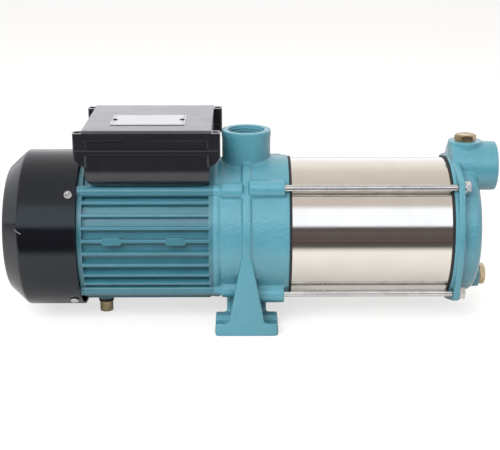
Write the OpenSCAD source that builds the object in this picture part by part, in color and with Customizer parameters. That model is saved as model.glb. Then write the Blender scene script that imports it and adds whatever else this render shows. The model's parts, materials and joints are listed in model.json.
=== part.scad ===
// Self-priming multistage pump, close-coupled to its motor. All sizes are in millimetres.
// The origin lies on the floor at the centre of the foot's four bolt holes, under the discharge port.
// +X runs along the shaft to the suction end, -Y is the front and +Z is up.

/* [Stance] */
// Height of the shaft's axis above the floor
shaft_h = 81; // [78:1:96]
// Width of the foot along the shaft
foot_w = 56; // [50:1:60]
// Depth of the foot, front edge to rear edge
foot_depth = 133; // [130:1:146]
// Thickness of the foot's pads
foot_t = 11.5; // [9:0.5:13]
// Diameter of each bolt hole in the foot
foot_hole_d = 9; // [7:0.5:11]
// Distance between the bolt holes along the shaft
foot_pitch_x = 37; // [35:1:40]
// Distance between the bolt holes across the shaft
foot_pitch_y = 110; // [106:1:112]
// Diameter of the brass support stud under the motor
stud_d = 12; // [10:0.5:14]

/* [Motor] */
// Length of the finned motor housing
motor_len = 113; // [104:1:130]
// Diameter of the housing under the fins
housing_d = 117; // [115:0.5:119]
// Diameter over the tips of the fins
fin_tip_d = 130.4; // [126:0.2:131]
// Thickness of a fin at its tip
fin_t = 3; // [1.6:0.1:3.6]
// Number of fins between two bolt channels
fins_per_side = 8; // [5:1:9]
// Diameter of the stator
stator_d = 108.6; // [104:0.2:109.4]
// Diameter of the rotor
rotor_d = 60; // [54:0.5:64]
// Length of the stator and rotor laminations
lamination_len = 70; // [50:1:74]
// Radius of the circle of the motor's through bolts
bolt_circle_r = 63.5; // [62.6:0.1:64]
// Diameter of the motor's through bolts
through_bolt_d = 5; // [4:0.5:6]

/* [Fan cover] */
// Diameter of the fan cover
cover_d = 140; // [138.5:0.5:146]
// Length of the fan cover
cover_len = 65.5; // [62:0.5:76]
// Length of the cover's sloping shoulder
shoulder_len = 16.5; // [10:0.5:20]
// Diameter of the cover's flat end
cover_end_d = 110; // [96:1:116]
// Wall of the fan cover
cover_t = 1.6; // [1:0.1:2.2]
// Thickness of the rear end shield's plate, which shows between the cover and the housing
shield_t = 4; // [3:0.1:5.5]
// Diameter of the cooling fan
fan_d = 116; // [96:1:124]
// Number of fan blades
fan_blades = 9; // [6:1:12]

/* [Terminal box] */
// Length of the box between its corner bosses
box_len = 109.2; // [100:0.2:110]
// Depth of the box
box_depth = 120; // [116:0.5:124]
// Height of the saddle's top above the shaft's axis
saddle_rise = 62; // [61:0.5:64]
// Height of the box base above the saddle
box_base_h = 21.8; // [21:0.2:28]
// Height of the lid
box_lid_h = 15.9; // [14:0.1:20]
// Wall of the box
box_wall = 2.6; // [1.8:0.1:3.4]
// Thickness of the lid gasket
lid_gasket_t = 0.8; // [0.4:0.1:1.4]
// Reach of the corner bosses past the ends of the box
boss_reach = 7.5; // [7:0.1:8.5]
// Diameter of the run capacitor
capacitor_d = 28; // [22:0.5:29]
// Length of the run capacitor
capacitor_len = 66; // [50:1:72]

/* [Pump casing] */
// Distance from the port's axis to the motor joint
casing_left = 28.8; // [28:0.2:34]
// Distance from the port's axis to the sleeve's gasket
casing_right = 37.4; // [36:0.2:46]
// Diameter of the casing at the sleeve
casing_d = 129.4; // [128:0.2:131]
// Diameter of the bracket between the rib and the motor
bracket_d = 125.6; // [122:0.2:127]
// Width of the rib that runs round the casing
rib_w = 8.4; // [6:0.2:10]
// How far the rib stands out from the casing
rib_proud = 2.6; // [1.2:0.2:4]
// Outer diameter of both ports
port_od = 44; // [40:0.5:48]
// Tapping diameter of both ports
port_bore_d = 30.3; // [26:0.1:31]
// Depth of the thread in both ports
port_thread_len = 20; // [16:0.5:22]
// Height of the discharge port's rim above the shaft's axis
port_rise = 90; // [86:0.5:100]
// Diameter of each boss for the motor's through bolts
motor_boss_d = 14.6; // [12:0.2:16]
// Diameter of each boss for the tie rods
tie_boss_d = 15.6; // [13:0.2:17]

/* [Sleeve and tie rods] */
// Outer diameter of the sleeve
sleeve_d = 124.5; // [123.5:0.1:126]
// Wall of the sleeve
sleeve_t = 1.5; // [1:0.1:2]
// Length of the sleeve
sleeve_len = 138; // [130:1:160]
// Thickness of each sleeve gasket
gasket_t = 2; // [1:0.1:3]
// Diameter of the tie rods
tie_rod_d = 6; // [5:0.5:7]
// Radius of the circle of the tie rods
tie_circle_r = 68; // [67.5:0.1:70]

/* [Suction cover] */
// Thickness of the cover's flange
flange_t = 8.2; // [7:0.1:12]
// Depth of the cover from its gasket face to the shoulder of its dome
dome_depth = 25.5; // [24:0.5:30]
// Height of the suction port's axis above the shaft's axis
suction_rise = 56; // [54:0.5:58]
// Distance from the gasket face to the suction port's rim
suction_reach = 43.2; // [38:0.2:52]
// Distance from the gasket face to the priming plug's axis
plug_setback = 16; // [15:0.5:17]
// Height of the priming boss above the shaft's axis
plug_boss_rise = 79.5; // [78.5:0.5:86]
// Diameter of the priming boss
plug_boss_d = 30.6; // [27:0.2:31]
// Depth of the drain plug's axis below the shaft's axis
drain_drop = 46.5; // [40:0.5:47]
// Thread diameter of both plugs
plug_d = 16; // [13:0.5:17]
// Width across the flats of both plugs
plug_flats = 17; // [17:0.5:20]

/* [Rotor and stages] */
// Diameter of the shaft in the pump
shaft_d = 14; // [12:0.5:15]
// Diameter of the impellers
impeller_d = 95; // [84:1:102]
// Diameter of the impeller's eye
eye_d = 36; // [32:0.5:40]
// Number of vanes in each impeller
impeller_vanes = 6; // [4:1:8]
// Number of return vanes in each diffuser
diffuser_vanes = 7; // [5:1:9]
// Thickness of the vanes
vane_t = 1.8; // [1.2:0.1:2.6]

/* [Hidden] */
$fn = 96;
fit = 0.05;                                  // running or screwed fit, on the radius
seat = 0.3;                                  // clearance of loosely seated pieces
corners = [45, 135, 225, 315];               // clock angles of the bolts and rods
stages = 4;

teal = [0.30, 0.60, 0.66];
black = [0.07, 0.07, 0.08];
steel = [0.78, 0.77, 0.74];
brass = [0.80, 0.62, 0.36];
rubber = [0.10, 0.10, 0.10];

// Places along the shaft
x_joint = -casing_left;
x_housing = x_joint - motor_len;
x_shield = x_housing - shield_t;
rim_gap = 0.3;
x_rim = x_shield - rim_gap;
x_fan_end = x_rim - cover_len;
x_shoulder = x_fan_end + shoulder_len;
x_face = casing_right;
x_sleeve = x_face + gasket_t;
x_sleeve_end = x_sleeve + sleeve_len;
x_cover = x_sleeve_end + gasket_t;
x_flange = x_cover + flange_t;
x_dome = x_cover + dome_depth;
x_suction = x_cover + suction_reach;
x_plug = x_cover + plug_setback;

// Motor housing
housing_r = housing_d / 2;
fin_tip_r = fin_tip_d / 2;
stator_r = stator_d / 2;
channel_r = 5.2;
end_ring_w = 3.7;                            // plain ring at the casing's end of the fins
fin_step = 80 / fins_per_side;
stud_x = x_housing + 12;
collar_t = 3.2;
stud_boss_drop = 68.2;                       // lower face of the stud's boss, below the axis
stud_len = shaft_h - stud_boss_drop - collar_t;
stud_boss_r = stud_d / 2 + 2;
thread_r = stud_d / 3;
cable_hole_r = 7;
pad_len = 17.6;
pad_w = 6.2;
pad_places = [26, 81];                       // centres of the fin pads, from the fan end of the housing
saddle_half = 38;
saddle_ends = [9, 3.6];                      // setback of the saddle from the housing's two ends
saddle_foot = housing_r * 0.7;               // where the saddle's block starts inside the wall

// Spigots that centre the housing at both ends
spigot_r = stator_r + fit - 0.1;
spigot_len = 5;
spigot_wall = 4;

// Fan cover
cover_edge_r = 6;                            // rounding between the cover's end and its shoulder
cover_bend_r = 4;                            // rounding between the shoulder and the side
grille_hub_r = 10;
grille_rings = 5;
grille_open = 0.6;                           // share of each step that is open
grille_step = (cover_end_d / 2 - cover_edge_r - grille_hub_r) / grille_rings;
grille_bar_w = 5;

// Rear end shield and fan-end bearing
shield_len = 15;
x_shield_back = x_housing - shield_len - shield_t;
bowl_r = stator_r - 0.3;
plate_r = fin_tip_r - 1.2;
lug_r = 3.4;
lug_gap = 0.3;
lug_turn = 6;                                // the cover's screws stand this far round from the bolts
x_lug = x_rim - 6.3;
cover_screw_r = 2;
screw_head_r = 3.75;
screw_head_h = 2.2;
rear_bearing = [7.5, 17.5, 11, 3.0];         // bore radius, outer radius, width and ball radius
drive_bearing = [8.5, 20, 12, 3.5];
rear_hub_wall = 5;
x_rear_bearing = x_housing - 6 - rear_bearing[2];
washer_t = 1;
hub_back = 3;

// Drive end of the casing
x_drive_bearing = x_joint - 6;
drive_hub_wall = 6.5;
dry_r = 12.5;
web_t = 11;
x_web = 5 - web_t;
x_wet = 5;
seat_r = 13.5;
seat_len = 6;

// Casing
casing_r = casing_d / 2;
bracket_r = bracket_d / 2;
rib_r = casing_r + rib_proud;
x_rib = -rib_w / 2;
joint_ring_w = 4.5;
joint_ring_r = bracket_r + 1.6;
sleeve_r = sleeve_d / 2;
bore_r = sleeve_r - sleeve_t;
nose_r = bore_r - 0.25;                      // spigots inside the sleeve
nose_len = 6;
wet_r = nose_r - 4.5;
recess_r = bracket_r - 8.6;
port_r = port_od / 2;
port_bore_r = port_bore_d / 2;
passage_r = port_bore_r - 0.65;
collar_h = 6;
mouth_chamfer = 1.75;
tie_rod_r = tie_rod_d / 2;
tie_boss_r = tie_boss_d / 2;
tie_boss = [rib_w / 2 - 2, casing_right - 4.3];
tie_thread = 18;
motor_boss_r = motor_boss_d / 2;
motor_boss = [x_joint + 7, x_rib];
through_r = through_bolt_d / 2;
bolt_tip = x_rib - 4;

// Foot
pad_inner = 35;
corner_r = 3;
foot_edge_r = 1.8;
spot_r = 9;
spot_depth = 4.5;
gusset_t = 9;
gusset_foot = 16;
gusset_top = 4.6;
gusset_drop = 11;
pedestal_w = 35;
pedestal_t = 8;
pedestal_y = 36;

// Suction cover
dome_r = casing_r - 5.5;
dome_corner = 9;
crown = 3;
cover_wall = 6;
cavity_r = dome_r - cover_wall;
x_cavity = x_dome - cover_wall + 0.5;
flange_r = casing_r + 2.5;
flange_step = 2.5;                           // plain ring next to the gasket, as wide as the casing
tie_lug_r = 7;
drain_boss_r = plug_d / 2 + 4;
drain_boss_reach = 9;
x_drain = x_dome + drain_boss_reach;
plug_r = plug_d / 2;
plug_hex_h = 4.7;
plug_washer_t = 0.9;
plug_tip_gap = 0.6;                          // priming plug's end above the suction port's bore
plug_thread_len = min(9.5, plug_boss_rise - suction_rise - port_bore_r - plug_tip_gap);
nut_flats = 10;
nut_h = 4.2;
rod_washer_t = 0.8;
rod_washer_r = 6;
rod_tail = 0.5;

// Stack of stages inside the sleeve
x_stack = x_face + nose_len;
plate_t = 2.5;
x_plate = x_cover - 14;
pitch = (x_plate - x_stack) / stages;
shell_r = bore_r - 0.25;
shell_wall = 2;
disc_t = 2;
return_h = 7;
eye_r = eye_d / 2;
neck_t = 2;
neck_gap = 0.5;
shaft_r = shaft_d / 2;
hub_r = shaft_r + 4;
vane_bend = 32;                              // radius of the impeller vanes' curve
vane_centre = 25;                            // centre of that curve, out from the shaft
guide_bend = 34;                             // the same two for the diffusers' guide vanes
guide_centre = 30;
impeller_r = impeller_d / 2;
shroud_t = 1.8;
passage_h = 8;
spacer_r = shaft_r + 2.5;
diffuser_r = impeller_r + 3;

// Rotor
air_gap = 0.6;
rotor_r = rotor_d / 2;
winding_len = 12;
x_lamination = x_housing + 18;
x_lamination_end = x_lamination + lamination_len;
core_r = 11;
shoulder_r = 13;
rotor_ring_len = 8;
fan_r = fan_d / 2;
fan_hub_r = 13;
fan_disc_t = 2;
blade_t = 1.8;
blade_w = 17;
fan_gap = 10;
x_fan = x_shield_back - fan_gap - blade_w - fan_disc_t;
clip_t = 1.2;
shaft_tail = 3;
nut_r = 5.5;
impeller_nut_flats = 17;
impeller_nut_h = 7;
last_hub = x_stack + (stages - 1) * pitch + return_h + 2 * disc_t + shroud_t + passage_h + 1.5;

// Terminal box
box_x = x_joint - motor_len / 2 + 1.1;       // middle of the box along the shaft
box_x0 = box_x - box_len / 2;
box_x1 = box_x + box_len / 2;
z_saddle = shaft_h + saddle_rise;
z_base = z_saddle + box_base_h;
z_lid = z_base + lid_gasket_t;
z_top = z_lid + box_lid_h;
base_half = box_depth / 2 - 1.5;
base_flange_t = 3.7;
base_round = 26;
base_sweep = 47;
lobe_top = 8;
floor_t = 2.5;
boss_depth = 12.5;
boss_drop = 14;
boss_step = 1.2;
lid_bevel = [4, 1.5];
lid_screw_r = 1.6;
lid_head_r = 2.9;
lid_head_h = 1.7;
lid_screw_sink = 4;                          // depth of the screw heads below the bosses' tops
lid_recess = [1.2, 4.4, 8];                  // depth of the skirt's recess, its height, top of its slope
plate_size = [64, 42, 0.6];
plate_y = -13;
plate_x = box_x - 1;
rivet_r = 1.25;
rivet_head_r = 2.4;
rivet_edge = 2.7;                            // rivets' centres in from the plate's ends
rivet_pitch = plate_size[0] - 2 * rivet_edge;
terminal_size = [50, 20, 13];
terminal_ways = 6;
way_r = 2.4;                                 // pockets of the terminal block
way_pitch = 10;
capacitor_top = 3;                           // cap that carries the two tabs
tab_size = [8, 6, 0.8];
cable_hole_x = box_x + 25;

// Cable gland at the back of the box
gland_x = box_x - 27;
gland_rise = box_base_h / 2;
gland_boss_r = 10.4;
gland_thread_r = 7.9;
gland_flats = 18;
gland_hex_t = 5;
gland_neck_r = 7.4;
gland_neck_len = 5.5;
gland_nut_r = 9.6;
gland_nut_len = 13;
gland_seal_r = 6;
gland_bore_len = 40;                         // length of the cut for the cable, past both ends
cable_r = 4.2;

// Frames and shared shapes

// Local x is +Y, local y is up and local z runs along the shaft
module on_shaft(x) translate([x, 0, shaft_h]) rotate([90, 0, 90]) children();

// Turns to a clock angle, counted upward from the horizontal on the front side
module clock(a) rotate([0, 0, 180 - a]) children();

// Extrudes an outline drawn in Y and in height above the shaft
module along_x(x0, x1) on_shaft(x0) linear_extrude(x1 - x0) children();

// Extrudes an outline drawn in X and in height above the floor
module along_y(y0, y1) translate([0, y1, 0]) rotate([90, 0, 0]) linear_extrude(y1 - y0) children();

// Turns a profile of [radius, place along the shaft] about the shaft
module turned(profile) on_shaft(0) rotate_extrude(convexity = 8) polygon(profile);

module rod(x0, x1, r) on_shaft(x0) cylinder(r = r, h = x1 - x0);

module tube(x0, x1, outer, inner) {
    difference() {
        rod(x0, x1, outer);
        rod(x0 - 1, x1 + 1, inner);
    }
}

// Puts its children at each bolt or rod of a circle
module at_corners(x, r) {
    for (a = corners)
        on_shaft(x) clock(a) translate([r, 0, 0]) children();
}

// Rectangle with true round corners, centred
module rounded(w, d, r) {
    square([w - 2 * r, d], center = true);
    square([w, d - 2 * r], center = true);
    for (sx = [-1, 1], sy = [-1, 1])
        translate([sx * (w / 2 - r), sy * (d / 2 - r)]) circle(r);
}

// Slot with round ends, centred, along its first axis
module slot(len, w) {
    square([len - w, w], center = true);
    for (s = [-1, 1]) translate([s * (len - w) / 2, 0]) circle(w / 2);
}

function arc(c, r, a0, a1, n) =
    [for (i = [0:n]) let (a = a0 + (a1 - a0) * i / n) [c[0] + r * cos(a), c[1] + r * sin(a)]];
function reversed(points) = [for (i = [len(points) - 1:-1:0]) points[i]];
function unit(v) = v / norm(v);

// Points of the arc that rounds the corner at b between a and c
function round_corner(a, b, c, r, n = 5) =
    let (u = unit(a - b), v = unit(c - b), half = acos(u * v) / 2, centre = b + unit(u + v) * r / sin(half),
         p = b + u * r / tan(half) - centre, q = b + v * r / tan(half) - centre,
         a0 = atan2(p[1], p[0]), turn = (atan2(q[1], q[0]) - a0 + 900) % 360 - 180)
    [for (i = [0:n]) centre + r * [cos(a0 + turn * i / n), sin(a0 + turn * i / n)]];

function flip(points) = [for (i = [len(points) - 1:-1:0]) [-points[i][0], points[i][1]]];

// One curved vane: the arc of a circle between two radii
module vane(inner, outer, bend, offset_r, t) {
    intersection() {
        difference() {
            circle(outer);
            circle(inner);
        }
        translate([offset_r, 0]) difference() {
            circle(bend + t / 2);
            circle(bend - t / 2);
        }
        translate([-2 * outer, 0]) square([4 * outer, 2 * outer]);
    }
}

module hex(flats, h) cylinder(r = flats / 2 / cos(30), h = h, $fn = 6);

// Pump casing: bracket, volute, discharge port and foot in one casting

module leg() {
    floor_z = -shaft_h;
    difference() {
        union() {
            intersection() {
                linear_extrude(foot_t)
                    translate([0, -(foot_depth / 2 + pad_inner) / 2])
                        rounded(foot_w, foot_depth / 2 - pad_inner, corner_r);
                along_y(-foot_depth, 0) pad_front();
            }
            along_y(-foot_depth / 2, -foot_depth / 2 + gusset_t)
                polygon([[-gusset_foot, foot_t - 1], [gusset_foot, foot_t - 1],
                         [gusset_top, shaft_h - gusset_drop], [-gusset_top, shaft_h - gusset_drop]]);
            along_x(x_rib, x_rib + rib_w)
                polygon([[-foot_depth / 2 + 1, floor_z + foot_t - 1],
                         [-pedestal_y + 1, floor_z + foot_t - 1], [-pedestal_y + 1, -bracket_r * 0.8],
                         [-bracket_r + 2, -gusset_drop], [-foot_depth / 2 + 1, -gusset_drop]]);
            translate([-pedestal_w / 2, -pedestal_y, 0])
                cube([pedestal_w, pedestal_t, shaft_h - bracket_r * 0.8]);
        }
        for (s = [-1, 1]) {
            translate([s * foot_pitch_x / 2, -foot_pitch_y / 2, -1])
                cylinder(d = foot_hole_d, h = foot_t + 2);
            translate([s * foot_pitch_x / 2, -foot_pitch_y / 2, foot_t - spot_depth]) {
                cylinder(r = spot_r, h = spot_depth + 1);
                translate([s > 0 ? 0 : -foot_w, -spot_r, 0]) cube([foot_w, 2 * spot_r, spot_depth + 1]);
            }
        }
    }
}

// Front view of a pad: lower corners rounded, ends leaning in by a degree or two
module pad_front() {
    half = foot_w / 2;
    side = concat([[0, 0]], round_corner([0, 0], [half, 0], [half - 0.6, foot_t], foot_edge_r),
                  [[half - 0.6, foot_t + 1], [0, foot_t + 1]]);
    polygon(side);
    mirror([1, 0]) polygon(side);
}

module casing_outside() {
    turned([[0, x_joint], [joint_ring_r, x_joint], [joint_ring_r, x_joint + joint_ring_w],
            [bracket_r, x_joint + joint_ring_w + 1], [bracket_r, x_rib], [rib_r, x_rib + 0.8],
            [rib_r, x_rib + rib_w - 0.8], [casing_r, x_rib + rib_w], [casing_r, x_face - 1],
            [casing_r - 1, x_face], [0, x_face]]);
    tube(x_face - 1, x_stack, nose_r, wet_r);
    tube(x_joint - spigot_len, x_joint + 1, spigot_r, spigot_r - spigot_wall);
    rod(x_drive_bearing - 1, x_web + 1, drive_bearing[1] + drive_hub_wall);
    at_corners(x_joint, bolt_circle_r) cylinder(r = channel_r, h = motor_boss[0] - x_joint + 1);
    at_corners(motor_boss[0], bolt_circle_r)
        cylinder(r = motor_boss_r, h = motor_boss[1] - motor_boss[0] + 1);
    at_corners(tie_boss[0], tie_circle_r) {
        cylinder(r = tie_boss_r, h = tie_boss[1] - tie_boss[0]);
        translate([-12, -tie_boss_r, 0]) cube([12, 2 * tie_boss_r, tie_boss[1] - tie_boss[0]]);
    }
    translate([0, 0, shaft_h + casing_r - 20])
        cylinder(r = port_r - 0.4, h = port_rise - casing_r + 20 - collar_h);
    translate([0, 0, shaft_h + port_rise - collar_h]) cylinder(r = port_r, h = collar_h);
    for (m = [0, 1]) mirror([0, m, 0]) leg();
}

module casing_inside() {
    // motor side, open to the housing, with the port's wall left standing
    difference() {
        tube(x_joint - 1, x_web, recess_r, drive_bearing[1] + drive_hub_wall);
        translate([0, 0, shaft_h]) cylinder(r = passage_r + 4, h = casing_r);
    }
    rod(x_drive_bearing - 2, x_drive_bearing + drive_bearing[2], drive_bearing[1] + fit);
    rod(x_drive_bearing, x_wet - seat_len, dry_r);
    rod(x_wet - seat_len, x_wet + 1, seat_r);
    // wet side, joined to the port by the upright passage
    rod(x_wet, x_face, wet_r);
    translate([0, 0, shaft_h + wet_r * 0.55]) cylinder(r = passage_r, h = port_rise);
    port_mouth(port_rise);
}

// Tapped bore with a chamfered mouth, whose rim stands at a height above the shaft's axis
module port_mouth(rise) {
    translate([0, 0, shaft_h + rise - port_thread_len]) cylinder(r = port_bore_r, h = port_thread_len + 1);
    translate([0, 0, shaft_h + rise - mouth_chamfer])
        cylinder(r1 = port_bore_r, r2 = port_bore_r + mouth_chamfer, h = mouth_chamfer);
}

module pump_casing() {
    color(teal) difference() {
        casing_outside();
        casing_inside();
        at_corners(x_joint - 1, bolt_circle_r) cylinder(r = through_r + fit, h = bolt_tip - x_joint + 1);
        at_corners(tie_boss[1] - tie_thread, tie_circle_r) cylinder(r = tie_rod_r + fit, h = tie_thread + 1);
    }
}

// Suction cover: flange, dome, suction port, priming boss and drain boss in one casting

module suction_cover() {
    color(teal) difference() {
        union() {
            turned(concat([[0, x_cover], [casing_r, x_cover]],
                          [[casing_r, x_flange - 1], [dome_r, x_flange - 1]],
                          arc([dome_r - dome_corner, x_dome - dome_corner], dome_corner, 0, 90, 8),
                          [[0, x_dome + crown]]));
            along_x(x_cover + flange_step, x_flange) flange_outline();
            tube(x_plate + plate_t, x_cover + 1, nose_r, wet_r);
            on_shaft(x_cover + 2) translate([0, suction_rise, 0])
                cylinder(r = port_r, h = suction_reach - 2);
            translate([x_plug, 0, shaft_h + suction_rise - 10])
                cylinder(d = plug_boss_d, h = plug_boss_rise - suction_rise + 10);
            on_shaft(x_flange) translate([0, -drain_drop, 0])
                cylinder(r = drain_boss_r, h = x_drain - x_flange);
        }
        rod(x_cover - 1, x_cavity, cavity_r);
        suction_passage();
        translate([x_plug, 0, shaft_h + suction_rise]) cylinder(r = plug_r + fit, h = plug_boss_rise);
        on_shaft(x_cavity - 4) translate([0, -drain_drop, 0])
            cylinder(r = plug_r + fit, h = x_drain - x_cavity + 5);
        at_corners(x_cover - 1, tie_circle_r) cylinder(r = tie_rod_r + seat, h = flange_t + 3);
    }
}

// Round flange drawn out to a lug at each tie rod, with straight flanks that touch both circles
module flange_outline() {
    lean = acos((flange_r - tie_lug_r) / tie_circle_r);
    tip = tie_circle_r + tie_lug_r * cos(lean);
    circle(flange_r);
    for (a = corners) clock(a) {
        translate([tie_circle_r, 0]) circle(tie_lug_r);
        polygon([[0, 0], flange_r * [cos(lean), sin(lean)], [tip, tie_lug_r * sin(lean)],
                 [tip, -tie_lug_r * sin(lean)], flange_r * [cos(lean), -sin(lean)]]);
    }
}

// Bore of the suction port and the way down from it into the cover
module suction_passage() {
    on_shaft(x_suction - port_thread_len) translate([0, suction_rise, 0])
        cylinder(r = port_bore_r, h = port_thread_len + 1);
    on_shaft(x_suction - mouth_chamfer) translate([0, suction_rise, 0])
        cylinder(r1 = port_bore_r, r2 = port_bore_r + mouth_chamfer, h = mouth_chamfer);
    on_shaft(x_cover + 7) translate([0, suction_rise, 0])
        cylinder(r = passage_r, h = suction_reach - port_thread_len);
    along_x(x_cover + 7, x_cavity) translate([-passage_r * 0.75, cavity_r * 0.6])
        square([passage_r * 1.5, suction_rise - cavity_r * 0.6]);
}

// Sleeve, gaskets and tie rods

module pump_sleeve() color(steel) tube(x_sleeve, x_sleeve_end, sleeve_r, bore_r);

module sleeve_gaskets() {
    color(rubber) for (x = [x_face, x_sleeve_end]) tube(x, x + gasket_t, casing_r - 1, nose_r + fit);
}

module tie_rods() {
    rod_end = x_flange + rod_washer_t + nut_h + rod_tail;
    start = tie_boss[1] - tie_thread;
    color(steel) at_corners(start, tie_circle_r) cylinder(r = tie_rod_r, h = rod_end - start);
}

module tie_rod_washers() {
    color(steel) at_corners(x_flange, tie_circle_r) difference() {
        cylinder(r = rod_washer_r, h = rod_washer_t);
        translate([0, 0, -1]) cylinder(r = tie_rod_r + fit, h = rod_washer_t + 2);
    }
}

module tie_rod_nuts() {
    color(steel) at_corners(x_flange + rod_washer_t, tie_circle_r) difference() {
        hex(nut_flats, nut_h);
        translate([0, 0, -1]) cylinder(r = tie_rod_r + fit, h = nut_h + 2);
    }
}

// Stages: diffusers stacked in the sleeve, with an impeller turning in each

module diffuser(i) {
    x0 = x_stack + (i - 1) * pitch;
    back = disc_t + return_h;
    color("gainsboro") {
        difference() {
            union() {
                tube(x0, x0 + pitch, shell_r, shell_r - shell_wall);
                tube(x0, x0 + disc_t, shell_r - 1, eye_r + neck_t + neck_gap);
                tube(x0 + back, x0 + back + disc_t, diffuser_r, hub_r + neck_gap);
                along_x(x0 + disc_t - 0.5, x0 + back + 0.5)
                    for (k = [0:diffuser_vanes - 1])
                        rotate(k * 360 / diffuser_vanes) mirror([0, 1])
                            vane(hub_r + 12, shell_r - 1, guide_bend, guide_centre, vane_t);
            }
            rod(x0 - 1, x0 + disc_t, eye_r + neck_t + neck_gap);
        }
    }
}

module inlet_plate() color("gainsboro") tube(x_plate, x_plate + plate_t, shell_r, eye_r + neck_t + neck_gap);

// Closed impeller: two shrouds, curved vanes, a hub and the neck of its eye
module impeller(i) {
    x0 = x_stack + (i - 1) * pitch;
    back = x0 + return_h + 2 * disc_t + 1.5;
    front = back + shroud_t + passage_h;
    color("whitesmoke") difference() {
        union() {
            rod(back, back + shroud_t, impeller_r);
            rod(back - 4, front, hub_r);
            tube(front, front + shroud_t, impeller_r, eye_r);
            tube(front, x0 + pitch + disc_t - 0.5, eye_r + neck_t, eye_r);
            along_x(back + shroud_t - 0.5, front + 0.5)
                for (k = [0:impeller_vanes - 1])
                    rotate(k * 360 / impeller_vanes)
                        vane(eye_r + 1, impeller_r - 1, vane_bend, vane_centre, vane_t);
        }
        rod(back - 5, front + 1, shaft_r + fit);
    }
}

module impeller_spacers() {
    first = x_stack + return_h + 2 * disc_t + 1.5 - 4;
    hub_len = 4 + shroud_t + passage_h;
    color(steel) {
        tube(seal_end, first, spacer_r, shaft_r + fit);
        for (i = [1:stages - 1])
            tube(first + (i - 1) * pitch + hub_len, first + i * pitch, spacer_r, shaft_r + fit);
    }
}

module impeller_nut() {
    color(steel) difference() {
        on_shaft(x_nut) hex(impeller_nut_flats, impeller_nut_h);
        rod(x_nut - 1, x_nut + impeller_nut_h + 1, nut_r + fit);
    }
}

// Mechanical seal and slinger

seal_head_len = 9;
spring_len = 12;
spring_wire_r = 1.1;
spring_turns = 4;
seal_face_gap = 0.1;
x_seal = x_wet + seal_face_gap;
seal_end = x_seal + seal_head_len + spring_len;
x_nut = last_hub + 0.2;

module seal_seat() color("dimgray") tube(x_wet - seat_len, x_wet, seat_r - fit, shaft_r + 1.5);

module seal_head() {
    color("slategray") difference() {
        turned([[0, x_seal], [shaft_r + 4, x_seal], [shaft_r + 4, x_seal + 3], [shaft_r + 6, x_seal + 3],
                [shaft_r + 6, x_seal + seal_head_len], [0, x_seal + seal_head_len]]);
        rod(x_seal - 1, x_seal + seal_head_len + 1, shaft_r + fit);
    }
}

// Coil swept as a ring of points that climbs along the shaft
module seal_spring() {
    coil_r = shaft_r + 2.6;
    sides = 8;
    steps = 20 * spring_turns;
    climb = spring_len - 2 * spring_wire_r - 0.2;
    points = [for (s = [0:steps], k = [0:sides - 1])
        let (a = s * 360 * spring_turns / steps, b = k * 360 / sides, r = coil_r + spring_wire_r * cos(b))
        [r * cos(a), r * sin(a), spring_wire_r + 0.1 + climb * s / steps + spring_wire_r * sin(b)]];
    walls = [for (s = [0:steps - 1], k = [0:sides - 1])
        let (p = s * sides + k, q = s * sides + (k + 1) % sides) [p, p + sides, q + sides, q]];
    first_cap = [for (k = [0:sides - 1]) k];
    last_cap = [for (k = [sides - 1:-1:0]) steps * sides + k];
    color(steel) on_shaft(x_seal + seal_head_len)
        polyhedron(points = points, faces = concat(walls, [first_cap, last_cap]), convexity = 8);
}

module water_slinger() {
    color(rubber) difference() {
        turned([[0, x_joint + 14], [shaft_r + 2, x_joint + 14], [shaft_r + 2, x_joint + 18],
                [dry_r - 1.5, x_joint + 20], [dry_r - 1.5, x_joint + 21.5], [0, x_joint + 21.5]]);
        rod(x_joint + 13, x_joint + 23, shaft_r + fit);
    }
}

// Ball bearings

function pitch_radius(b) = (b[0] + b[1]) / 2;

module bearing_outer(x, b) {
    color(steel) difference() {
        tube(x, x + b[2], b[1], pitch_radius(b) + b[3] * 0.55);
        bearing_groove(x, b);
    }
}

module bearing_inner(x, b) {
    color(steel) difference() {
        tube(x, x + b[2], pitch_radius(b) - b[3] * 0.55, b[0] + fit);
        bearing_groove(x, b);
    }
}

module bearing_groove(x, b) {
    on_shaft(x + b[2] / 2) rotate_extrude() translate([pitch_radius(b), 0]) circle(b[3] + 0.08);
}

module bearing_balls(x, b) {
    color("silver") for (k = [0:7])
        on_shaft(x + b[2] / 2) rotate([0, 0, 45 * k]) translate([pitch_radius(b), 0, 0]) sphere(b[3]);
}

module wave_washer() {
    color(steel) tube(x_rear_bearing - washer_t, x_rear_bearing, rear_bearing[1] - 0.3, rear_bearing[1] - 3);
}

// Motor housing: one extruded outline with radial fins, bolt channels, end rings and the box's saddle

module fin_outline() {
    root = fin_t / 2 + 0.9;
    polygon(concat([[stator_r + 1, -root]],
                   round_corner([stator_r + 1, -root], [fin_tip_r, -fin_t / 2], [fin_tip_r, 0], fin_t / 3),
                   round_corner([fin_tip_r, 0], [fin_tip_r, fin_t / 2], [stator_r + 1, root], fin_t / 3),
                   [[stator_r + 1, root]]));
}

module housing_outline(with_fins) {
    circle(with_fins ? housing_r : plate_r);
    for (a = corners) clock(a) translate([bolt_circle_r, 0]) circle(channel_r);
    if (with_fins)
        for (side = [0, 180, 270], k = [0:fins_per_side - 1])
            clock(side + (k - (fins_per_side - 1) / 2) * fin_step) fin_outline();
}

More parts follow.
